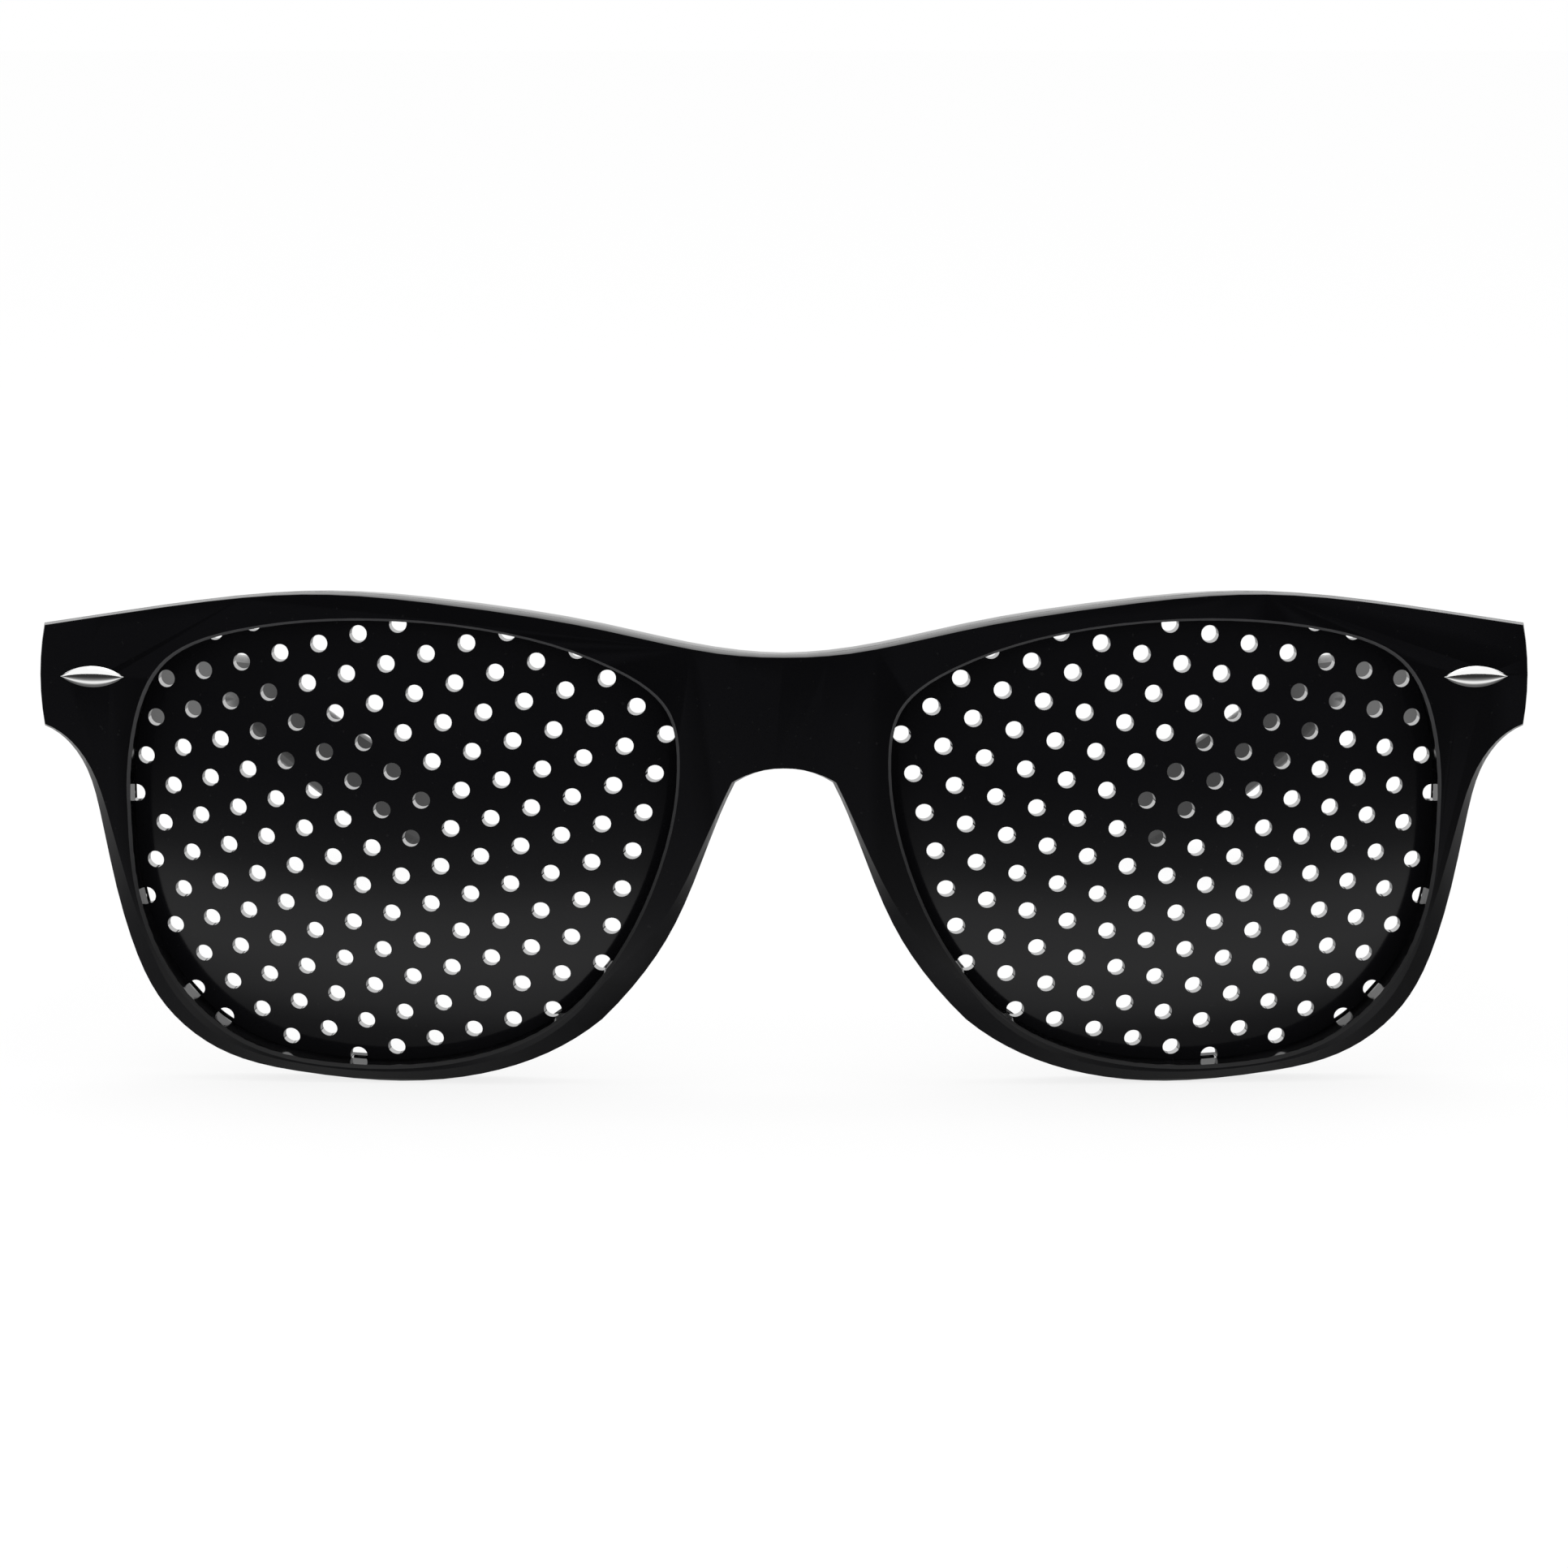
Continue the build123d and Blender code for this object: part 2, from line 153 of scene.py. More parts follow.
class GLASSES_PG_front(bpy.types.PropertyGroup):
    """The moulded front and the temples."""

    face_form: bpy.props.FloatProperty(
        name="Face form", description="How far each lens turns back from the middle",
        default=radians(3.6), subtype="ANGLE",
    )
    pantoscopic: bpy.props.FloatProperty(
        name="Pantoscopic tilt", description="Tilt of the front against the temples",
        default=radians(15.4), subtype="ANGLE",
    )
    hinge_back: bpy.props.FloatProperty(
        name="Hinge back", description="Hinge axis behind the bridge, along the temples",
        default=10.552 * MM, unit="LENGTH",
    )
    hinge_up: bpy.props.FloatProperty(
        name="Hinge up", description="Hinge axis above the middle of the lenses, square to the temples",
        default=16.906 * MM, unit="LENGTH",
    )
    edge_round: bpy.props.FloatProperty(
        name="Edge round", description="Radius that polishing leaves on the moulded edges",
        default=0.12 * MM, unit="LENGTH", precision=5,
    )
    colour: bpy.props.FloatVectorProperty(
        name="Plastic", description="Colour of the polished plastic",
        default=(0.0030, 0.0030, 0.0036), subtype="COLOR", size=3,
    )
    roughness: bpy.props.FloatProperty(
        name="Roughness", description="Roughness of the polished plastic",
        default=0.07, subtype="FACTOR", min=0, max=1,
    )
    # The lip's colour is a painted highlight, palest at its top, not the plastic's own colour.
    lip: bpy.props.FloatVectorProperty(
        name="Lip", description="Colour of the cut lip round the lens openings, at its top",
        default=(0.070, 0.070, 0.073), subtype="COLOR", size=3,
    )


class GLASSES_PG_plates(bpy.types.PropertyGroup):
    """The perforated plates."""

    lens_centre: bpy.props.FloatProperty(
        name="Lens centre", description="Middle of the lens opening from the middle of the bridge",
        default=37.0 * MM, unit="LENGTH",
    )
    radius: bpy.props.FloatProperty(
        name="Radius across", description="Radius of the plate's front seen from above",
        default=111.4 * MM, unit="LENGTH",
    )
    radius_up: bpy.props.FloatProperty(
        name="Radius up", description="Radius of the plate's front seen from the side",
        default=106.0 * MM, unit="LENGTH",
    )
    thickness: bpy.props.FloatProperty(
        name="Thickness", description="Thickness of the plate",
        default=0.9 * MM, unit="LENGTH", precision=5,
    )
    proud: bpy.props.FloatProperty(
        name="Proud", description="How far the crown of the plate stands in front of the rims",
        default=0.35 * MM, unit="LENGTH", precision=5,
    )
    hole: bpy.props.FloatProperty(
        name="Pinhole", description="Diameter of a pinhole on the front of the plate",
        default=1.68 * MM, unit="LENGTH", precision=5,
    )
    draft: bpy.props.FloatProperty(
        name="Draft", description="Slope of a pinhole's wall, which narrows to the back",
        default=radians(0.5), subtype="ANGLE",
    )
    pitch: bpy.props.FloatProperty(
        name="Pitch", description="Distance from a pinhole to the next",
        default=3.963 * MM, unit="LENGTH", precision=5,
    )
    shift: bpy.props.FloatVectorProperty(
        name="Shift", description="From the crown of the plate to the nearest pinhole",
        default=(-0.60 * MM, 0.39 * MM), unit="LENGTH", size=2, precision=5,
    )
    lattice_turn: bpy.props.FloatProperty(
        name="Lattice turn", description="Turn of the rows of pinholes from level",
        default=radians(-15.0), subtype="ANGLE",
    )
    mould_turn: bpy.props.FloatProperty(
        name="Mould turn", description="Turn of the pinholes' axes from square to the rims",
        default=radians(8.1), subtype="ANGLE",
    )
    colour: bpy.props.FloatVectorProperty(
        name="Plastic", description="Colour of the plates' plastic",
        default=(0.0052, 0.0052, 0.0062), subtype="COLOR", size=3,
    )
    roughness: bpy.props.FloatProperty(
        name="Roughness", description="Roughness of the plates",
        default=0.10, subtype="FACTOR", min=0, max=1,
    )


class GLASSES_PG_metal(bpy.types.PropertyGroup):
    """The shields, the hinges and their screws."""

    shield_height: bpy.props.FloatProperty(
        name="Shield height", description="Height of a shield in its middle",
        default=2.1 * MM, unit="LENGTH", precision=5,
    )
    shield: bpy.props.FloatVectorProperty(
        name="Shield", description="Colour of the polished shields",
        default=(0.97, 0.97, 0.965), subtype="COLOR", size=3,
    )
    hinge: bpy.props.FloatVectorProperty(
        name="Hinge", description="Colour of the hinge leaves",
        default=(0.62, 0.61, 0.58), subtype="COLOR", size=3,
    )
    screw: bpy.props.FloatVectorProperty(
        name="Screw", description="Colour of the screws",
        default=(0.70, 0.70, 0.69), subtype="COLOR", size=3,
    )


class GLASSES_PG_stage(bpy.types.PropertyGroup):
    """Floor, lights and camera."""

    picture: bpy.props.IntProperty(
        name="Picture side", description="Side of the square picture in pixels", default=1932, min=1,
    )
    focal_pixels: bpy.props.FloatProperty(
        name="Focal length in pixels", description="Focal length of the picture in its own pixels",
        default=7352.0, min=1,
    )
    elevation: bpy.props.FloatProperty(
        name="Elevation", description="How far the camera looks down",
        default=radians(8.89), subtype="ANGLE",
    )
    distance: bpy.props.FloatProperty(
        name="Distance", description="From the camera to the bridge, along its line of sight",
        default=579.42 * MM, unit="LENGTH",
    )
    rise: bpy.props.FloatProperty(
        name="Rise", description="How far the line of sight passes above the middle of the bridge",
        default=6.17 * MM, unit="LENGTH",
    )
    floor: bpy.props.FloatVectorProperty(
        name="Floor", description="Colour of the floor",
        default=(0.82, 0.82, 0.82), subtype="COLOR", size=3,
    )
    sky: bpy.props.FloatProperty(
        name="Sky", description="Level of the light that comes from all round",
        default=0.75, min=0, max=2,
    )
    key: bpy.props.FloatProperty(
        name="Key light", description="Power of the softbox above",
        default=1.6, unit="POWER", min=0,
    )


def settings():
    """The scene's settings for the glasses."""
    return bpy.context.scene.pinhole_glasses


class Wire:
    """A number on a socket: sums written with it add Math nodes."""

    def __init__(self, finish, socket):
        self.finish = finish
        self.socket = socket

    def maths(self, operation, *numbers):
        """Adds a Math node."""
        return self.finish.node("ShaderNodeMath", {"operation": operation}, dict(enumerate(numbers)))

    def __add__(self, other):
        return self.maths("ADD", self, other)

    def __radd__(self, other):
        return self.maths("ADD", other, self)

    def __sub__(self, other):
        return self.maths("SUBTRACT", self, other)

    def __rsub__(self, other):
        return self.maths("SUBTRACT", other, self)

    def __mul__(self, other):
        return self.maths("MULTIPLY", self, other)

    def __rmul__(self, other):
        return self.maths("MULTIPLY", other, self)

    def larger(self, other):
        return self.maths("MAXIMUM", self, other)


class Finish:
    """The node tree of a material or of the world."""

    def __init__(self, owner, output="ShaderNodeOutputMaterial"):
        owner.use_nodes = True
        self.tree = owner.node_tree
        self.tree.nodes.clear()
        self.output = self.tree.nodes.new(output)

    def node(self, kind, options=None, inputs=None, out=0):
        """Adds a node: its options first, then the values or links of its sockets. Gives one output."""
        made = self.tree.nodes.new(kind)
        for name, value in (options or {}).items():
            if name == "stops":
                self.set_stops(made.color_ramp, value)
            else:
                setattr(made, name, value)
        for name, value in (inputs or {}).items():
            self.feed(made.inputs[name], value)
        return Wire(self, made.outputs[out])

    def set_stops(self, ramp, stops):
        """Gives a colour ramp its stops: places with grey levels."""
        while len(ramp.elements) < len(stops):
            ramp.elements.new(1)
        for element, (place, level) in zip(ramp.elements, stops):
            element.position = place
            element.color = (level, level, level, 1)

    def feed(self, socket, value):
        """Links a wire to a socket, or sets the socket's own value."""
        if isinstance(value, Wire):
            self.tree.links.new(value.socket, socket)
        elif socket.type == "RGBA":
            socket.default_value = (*value, 1)
        else:
            socket.default_value = value

    def place(self):
        """Places on the piece, in metres."""
        return self.node("ShaderNodeTexCoord", out="Object")

    def stretch(self, scale, turn=(0, 0, 0)):
        """Places on the piece, turned and drawn out, for brushed and flowing patterns."""
        inputs = {"Vector": self.place(), "Rotation": turn, "Scale": scale}
        return self.node("ShaderNodeMapping", None, inputs)

    def along(self, axis, low, high):
        """From 0 to 1 between two places on an axis of the piece."""
        place = self.node("ShaderNodeSeparateXYZ", None, {0: self.place()}, out=axis)
        return self.node("ShaderNodeMapRange", None, {"Value": place, "From Min": low, "From Max": high})

    def noise(self, size, detail, places=None):
        """Noise from 0 to 1 with grains of a size in metres."""
        inputs = {"Vector": places or self.place(), "Scale": 1 / size, "Detail": detail}
        return self.node("ShaderNodeTexNoise", None, inputs)

    def ramp(self, value, *stops):
        """A number drawn through stops."""
        return self.node("ShaderNodeValToRGB", {"stops": stops}, {"Fac": value})

    def mix(self, share, first, second):
        """Two colours mixed."""
        return self.node("ShaderNodeMix", {"data_type": "RGBA"}, {0: share, 6: first, 7: second}, out=2)

    def bump(self, height, depth):
        """Normals of a relief as deep as given, in metres."""
        return self.node("ShaderNodeBump", None, {"Height": height, "Distance": depth, "Strength": 1.0})

    def principled(self, **inputs):
        """Ends the material with one Principled shader. Underscores in names are spaces."""
        named = {name.replace("_", " "): value for name, value in inputs.items()}
        self.end(self.node("ShaderNodeBsdfPrincipled", None, named))

    def end(self, shader):
        """Links the last shader to the output."""
        self.feed(self.output.inputs["Surface"], shader)


def new_finish(name):
    """An empty material and its node tree."""
    material = bpy.data.materials.new(name)
    return material, Finish(material)


def shade(colour, share):
    """A colour made darker or paler."""
    return tuple(share * level for level in colour)


def scratches(finish, size, share):
    """Fine hairline scratches in two directions, from 0 to 1."""
    marks = []
    for turn in (radians(24), radians(-51)):
        drawn = finish.stretch((1, 1, 0.04), (turn, turn, turn))
        marks.append(finish.ramp(finish.noise(size, 3, drawn), (1 - share, 0), (1 - share / 2, 1)))
    return marks[0].larger(marks[1])


def worn_edges(finish, low, high):
    """Where edges stand out and are rubbed, from 0 to 1."""
    pointed = finish.node("ShaderNodeNewGeometry", out="Pointiness")
    return finish.ramp(pointed, (low, 0), (high, 1))


def gloss_plastic(name, colour, roughness, flow_depth, sheen, wear):
    """Black moulded plastic: slow flow waves, hairline scratches, dust and, where it wears, paler edges."""
    material, finish = new_finish(name)
    cloud = finish.noise(9 * MM, 3)
    grain = finish.noise(0.09 * MM, 2)
    hairs = scratches(finish, 0.35 * MM, 0.36)
    specks = finish.ramp(finish.noise(0.5 * MM, 1), (0.74, 0), (0.78, 1))
    body = finish.mix(cloud, shade(colour, 0.82), shade(colour, 1.18))
    rough = roughness + cloud * 0.03 + grain * 0.02 + hairs * 0.05 + specks * 0.10
    if wear:
        edges = worn_edges(finish, 0.52, 0.60)
        body = finish.mix(edges * wear, body, shade(colour, 3))
        rough = rough + edges * 0.05
    dusted = finish.mix(specks * 0.10, body, DUST)
    flow = finish.noise(14 * MM, 1)
    relief = finish.bump(flow + hairs * 0.004, flow_depth)
    finish.principled(
        Base_Color=dusted, Roughness=rough, Normal=relief, IOR=PLASTIC_INDEX, Specular_IOR_Level=sheen,
    )
    return material


def painted_highlight_lip(name, colour):
    """The cut lip round a lens opening: the front's plastic made dull, its colour a painted highlight that is
    palest at the top.
    """
    material, finish = new_finish(name)
    cloud = finish.noise(3 * MM, 3)
    chatter = finish.noise(0.12 * MM, 2)
    # Painted highlight: darker low down and paler high above the floor.
    pale = finish.mix(finish.along("Z", LIP_LOW, LIP_HIGH), shade(colour, 0.12), colour)
    tint = finish.mix(cloud * 0.4, pale, shade(colour, 0.3))
    relief = finish.bump(chatter, 0.002 * MM)
    finish.principled(
        Base_Color=tint, Roughness=0.34 + chatter * 0.12, Normal=relief, IOR=PLASTIC_INDEX,
        Specular_IOR_Level=FRONT_SHEEN,
    )
    return material


def burnished_wall(name, colour):
    """The wall of a pinhole: the plate's plastic, burnished by the pin that moulded it."""
    material, finish = new_finish(name)
    cloud = finish.noise(0.6 * MM, 2)
    grain = finish.noise(0.09 * MM, 2)
    tint = finish.mix(cloud, colour, shade(colour, 1.3))
    finish.principled(
        Base_Color=tint, Roughness=0.02 + grain * 0.02, IOR=WALL_INDEX, Specular_IOR_Level=1.0,
    )
    return material


def polished_metal(name, colour):
    """Polished and plated metal with faint buffing lines."""
    material, finish = new_finish(name)
    lines = finish.noise(0.05 * MM, 3, finish.stretch((0.05, 1, 1)))
    cloud = finish.noise(1.2 * MM, 3)
    tint = finish.mix(cloud * 0.5, colour, shade(colour, 0.92))
    rough = 0.05 + lines * 0.05 + cloud * 0.03
    finish.principled(
        Base_Color=tint, Metallic=1.0, Roughness=rough, Normal=finish.bump(lines, 0.001 * MM),
    )
    return material


def satin_steel(name, colour, grain):
    """Tumbled steel: fine drawn lines, cloudy tarnish, pits and rounded bright edges."""
    material, finish = new_finish(name)
    lines = finish.noise(grain, 3, finish.stretch((1, 0.06, 1)))
    cloud = finish.noise(1.5 * MM, 4)
    pits = finish.ramp(finish.noise(0.12 * MM, 2), (0.68, 0), (0.76, 1))
    edges = worn_edges(finish, 0.51, 0.60)
    tint = finish.mix(cloud * 0.6, colour, shade(colour, 0.80))
    worn = finish.mix(edges * 0.5, tint, tuple(min(1.2 * level, 0.95) for level in colour))
    rough = 0.26 + lines * 0.10 + cloud * 0.08 + pits * 0.15 - edges * 0.08
    relief = finish.bump(lines * 0.6 - pits, 0.004 * MM)
    finish.principled(Base_Color=worn, Metallic=1.0, Roughness=rough, Normal=relief)
    return material


def dress(piece, *materials):
    """Gives a piece its materials and keeps which face has which."""
    slots = piece.data.materials
    for number, material in enumerate(materials):
        if number < len(slots):
            slots[number] = material
        else:
            slots.append(material)


def place_on_frame():
    """Where the bridge's face is, at the height of the lenses' middle, and how far the front leans."""
    front = settings().front
    joint = frame["joints"][0]
    axis = Vector(joint["axis"])
    tilt = atan2(abs(axis.y), abs(axis.z))
    hinge = Vector(joint["pos_m"])
    back = Vector((0, cos(tilt), -sin(tilt)))
    up = Vector((0, sin(tilt), cos(tilt)))
    apex = Vector((0, hinge.y, hinge.z)) - front.hinge_back * back - front.hinge_up * up
    return apex, front.pantoscopic - tilt


def rim_frame():
    """Places as the left half's face has them: across from the bridge, up, and out of the face."""
    apex, lean = place_on_frame()
    face = Matrix.Translation(apex) @ Matrix.Rotation(pi / 2 + lean, 4, "X")
    return face @ Matrix.Rotation(settings().front.face_form, 4, "Y")


def mould_frame():
    """Places as the left plate's mould has them: z along the pinholes, from the centre of curvature."""
    plates = settings().plates
    crown = rim_frame() @ Matrix.Translation((plates.lens_centre, 0, plates.proud - plates.radius))
    return crown @ Matrix.Rotation(plates.mould_turn, 4, "Y")


def carried(piece, node):
    """Puts a piece in the place of a CAD node: same body, and the node no longer shows."""
    body = next(name for name, members in frame["record"]["behaviour"]["bodies"].items() if node in members)
    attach(piece, body)
    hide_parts(node)
    return piece


def new_piece(name, mesh):
    """A piece linked to the scene."""
    piece = bpy.data.objects.new(name, mesh)
    bpy.context.scene.collection.objects.link(piece)
    return piece


def mark_lips(shape):
    """Gives the chamfer round each lens opening the second material of the front, which paints a highlight on it.
    """
    to_rim = rim_frame().inverted()
    to_mould = mould_frame().inverted()
    sheet = Sheet(settings().plates)
    outline = sheet_outline(sheet, sheet.front)
    for face in shape.faces:
        centre, direction = face.calc_center_median(), face.normal.copy()
        if centre.x < 0:
            centre.x, direction.x = -centre.x, -direction.x
        height = (to_rim @ centre).z
        leans = (to_rim.to_3x3() @ direction).z < LIP_LEAN
        if leans and -LIP_DEPTH < height < LIP_RISE:
            if depth_inside((to_mould @ centre).to_2d(), outline)[0] > 0:
                face.material_index = SECOND_FINISH


def rounded_front(radius):
    """A copy of the CAD front whose sharp edges are rounded, as polishing leaves them."""
    name = "front_frame_rounded"
    shape = bmesh.new()
    shape.from_mesh(frame["nodes"]["front_frame"].data)
    bmesh.ops.remove_doubles(shape, verts=shape.verts, dist=WELD)
    bmesh.ops.dissolve_limit(shape, angle_limit=LEVEL, verts=shape.verts, edges=shape.edges)
    edges = [edge for edge in shape.edges if edge.calc_face_angle(0) > SHARP]
    bmesh.ops.bevel(
        shape, geom=edges, offset=radius, offset_type="OFFSET", segments=2, profile=0.5,
        affect="EDGES", clamp_overlap=True, loop_slide=True,
    )
    shape.normal_update()
    mark_lips(shape)
    mesh = bpy.data.meshes.new(name)
    shape.to_mesh(mesh)
    shape.free()
    mesh.shade_smooth()
    piece = new_piece(name, mesh)
    weighted = piece.modifiers.new("face weighted normals", "WEIGHTED_NORMAL")
    weighted.keep_sharp = False
    return carried(piece, "front_frame")


class Sheet:
    """The left plate's sheet in its mould's places: a torus about the centre of curvature."""

    def __init__(self, plates):
        self.offset = plates.radius - plates.radius_up
        self.front = plates.radius_up
        self.back = plates.radius_up - plates.thickness

    def rise(self, across, up, radius):
        """Height of the front or back of the sheet over a place."""
        return sqrt((self.offset + sqrt(radius**2 - up**2)) ** 2 - across**2)

    def normal(self, across, up, radius):
        """Direction square to the sheet, outwards."""
        rise = self.rise(across, up, radius)
        inward = self.offset / sqrt(across**2 + rise**2)
        return Vector((across * (1 - inward), up, rise * (1 - inward))).normalized()


def sheet_outline(sheet, radius):
    """The plate's edge on its front or back, read from the CAD node in the mould's places."""
    to_mould = mould_frame().inverted()
    spots = lattice(CAD_PITCH, CAD_SHIFT)
    shape = bmesh.new()
    shape.from_mesh(frame["nodes"]["left_pinhole_plate"].data)
    shape.transform(to_mould)
    rim = set()
    for edge in shape.edges:
        if len(edge.link_faces) == 1:
            for corner in edge.verts:
                across, up, height = corner.co
                on_side = abs(height - sheet.rise(across, up, radius)) < ON_SHEET
                if on_side and all(hypot(across - x, up - y) > CAD_HOLE_CLEAR for x, y in spots):
                    rim.add((across, up))
    shape.free()
    middle = Vector((sum(x for x, y in rim), sum(y for x, y in rim))) / len(rim)
    polar = sorted((atan2(y - middle.y, x - middle.x), hypot(x - middle.x, y - middle.y)) for x, y in rim)
    first, last = polar[0], polar[-1]
    ring = [(last[0] - 2 * pi, last[1]), *polar, (first[0] + 2 * pi, first[1])]
    points = []
    passed = 0
    for step in range(OUTLINE_STEPS):
        angle = -pi + 2 * pi * step / OUTLINE_STEPS
        while ring[passed + 1][0] < angle:
            passed += 1
        (low, near), (high, far) = ring[passed], ring[passed + 1]
        share = (angle - low) / (high - low)
        reach = near + (far - near) * share
        points.append(middle + reach * Vector((cos(angle), sin(angle))))
    return points


def depth_inside(point, outline):
    """How far a point lies inside an outline, less than zero outside it, and the nearest place on it."""
    best = None
    inside = False
    for first, second in zip(outline, outline[1:] + outline[:1]):
        found, share = intersect_point_line(point, first, second)
        nearest = found.to_2d() if 0 <= share <= 1 else first.lerp(second, min(max(share, 0), 1))
        gap = (point - nearest).length
        if best is None or gap < best[0]:
            best = (gap, nearest)
        if (first.y > point.y) != (second.y > point.y):
            crossing = first.x + (second.x - first.x) * (point.y - first.y) / (second.y - first.y)
            inside ^= crossing > point.x
    gap, nearest = best
    return (gap if inside else -gap), nearest


def lattice(pitch, shift):
    """Places of pinholes in the mould, past the plate's edge too."""
    plates = settings().plates
    start = Vector((-plates.radius * sin(plates.mould_turn), 0)) + Vector(shift)
    turn = Matrix.Rotation(plates.lattice_turn, 2)
    spots = []
    for row in range(-LATTICE_REACH, LATTICE_REACH + 1):
        for column in range(-LATTICE_REACH, LATTICE_REACH + 1):
            step = Vector(((column + row / 2) * pitch, row * pitch * sqrt(3) / 2))
            spots.append(start + turn @ step)
    return spots


def hole_ring(spot, radius, outwards, room):
    """Points round a pinhole, flattened where there is little room to the plate's edge."""
    ring = []
    for step in range(HOLE_SIDES):
        angle = 2 * pi * step / HOLE_SIDES
        reach = radius * Vector((cos(angle), sin(angle)))
        past = max(reach.dot(outwards) - room, 0)
        ring.append(spot + reach - past * outwards)
    return ring


def face_triangles(outline, rings):
    """Triangles between the plate's outline and its pinholes, as numbers of their points."""
    loops = [outline, *rings]
    points = [point for loop in loops for point in loop]
    edges, owners = [], []
    for number, loop in enumerate(loops):
        start = len(owners)
        owners += [number] * len(loop)
        edges += [(start + step, start + (step + 1) % len(loop)) for step in range(len(loop))]
    made = delaunay_2d_cdt(points, edges, [], 0, TRIANGLE_GAP)
    source = [found[0] for found in made[3]]
    triangles = []
    for corners in made[2]:
        numbers = [source[corner] for corner in corners]
        owner = {owners[number] for number in numbers}
        if len(owner) == 1:
            middle = sum((points[number] for number in numbers), Vector((0, 0))) / 3
            inside = depth_inside(middle, loops[owner.pop()])[0] > 0
            if inside == (owners[numbers[0]] > 0):
                continue
        triangles.append(numbers)
    return triangles


def plate_mesh(name, mirrored):
    """A pinhole plate: a curved sheet with round holes whose edges are eased on both faces."""
    plates = settings().plates
    sheet = Sheet(plates)
    half = plates.hole / 2
    spots = lattice(plates.pitch, plates.shift)
    outlines = {"front": sheet_outline(sheet, sheet.front), "back": sheet_outline(sheet, sheet.back)}
    margin = plates.hole * MARGIN_SHARE
    kept = []
    for spot in spots:
        depth, nearest = depth_inside(spot, outlines["front"])
        if depth > margin:
            kept.append((spot, (nearest - spot).normalized(), depth - margin))
    ease = plates.hole * EASE_SHARE
    bend = ease * (1 - sqrt(0.5))
    slope = tan(plates.draft)
    half_back = half - plates.thickness * slope
    # Down a pinhole: face of the sheet, reach from the axis, drop below the face, share of the face's own
    # direction in the normal, and whether the direction towards the axis is in it.
    steps = (
        (sheet.front, half + ease, 0.0, 1, 0), (sheet.front, half + bend, bend, 1, 1),
        (sheet.front, half, ease, slope, 1), (sheet.back, half_back, -ease, slope, 1),
        (sheet.back, half_back + bend, -bend, -1, 1), (sheet.back, half_back + ease, 0.0, -1, 0),
    )
    points, normals, faces, walls = [], [], [], []
    rings = {number: [] for number in range(len(steps))}

    def add(place, radius, drop, face, wall, spot):
        """Adds a point with its normal and gives its number."""
        rise = sheet.rise(place.x, place.y, radius) - drop
        direction = sheet.normal(place.x, place.y, radius) * face
        if wall:
            inwards = (spot - place).normalized()
            direction = direction + Vector((inwards.x, inwards.y, 0))
        points.append(Vector((place.x, place.y, rise)))
        normals.append(direction.normalized())
        return len(points) - 1

    for spot, outwards, room in kept:
        for number, (radius, reach, drop, face, wall) in enumerate(steps):
            ring = hole_ring(spot, reach, outwards, room + reach - half)
            rings[number].append([add(place, radius, drop, face, wall, spot) for place in ring])
        for number in range(len(steps) - 1):
            upper, lower = rings[number][-1], rings[number + 1][-1]
            if number == HOLE_WALL:
                walls += range(len(faces), len(faces) + HOLE_SIDES)
            for step in range(HOLE_SIDES):
                after = (step + 1) % HOLE_SIDES
                faces.append((upper[step], upper[after], lower[after], lower[step]))
    rims = {}
    for side, radius, face in (("front", sheet.front, 1), ("back", sheet.back, -1)):
        rims[side] = [add(place, radius, 0.0, face, 0, place) for place in outlines[side]]
    for step in range(OUTLINE_STEPS):
        after = (step + 1) % OUTLINE_STEPS
        faces.append((rims["front"][after], rims["front"][step], rims["back"][step], rims["back"][after]))
    for side, number in (("front", 0), ("back", len(steps) - 1)):
        loops = [rims[side], *rings[number]]
        numbers = [point for loop in loops for point in loop]
        flat = [[points[point].to_2d() for point in loop] for loop in loops]
        for corners in face_triangles(flat[0], flat[1:]):
            corners = [numbers[corner] for corner in corners]
            if side == "back":
                corners.reverse()
            faces.append(tuple(corners))
    place = mould_frame()
    points = [place @ point for point in points]
    normals = [place.to_3x3() @ normal for normal in normals]
    if mirrored:
        points = [Vector((-x, y, z)) for x, y, z in points]
        normals = [Vector((-x, y, z)) for x, y, z in normals]
        faces = [tuple(reversed(corners)) for corners in faces]
    mesh = bpy.data.meshes.new(name)
    mesh.from_pydata(points, [], faces)
    for number in walls:
        mesh.polygons[number].material_index = SECOND_FINISH
    mesh.shade_smooth()
    mesh.normals_split_custom_set_from_vertices(normals)
    return mesh


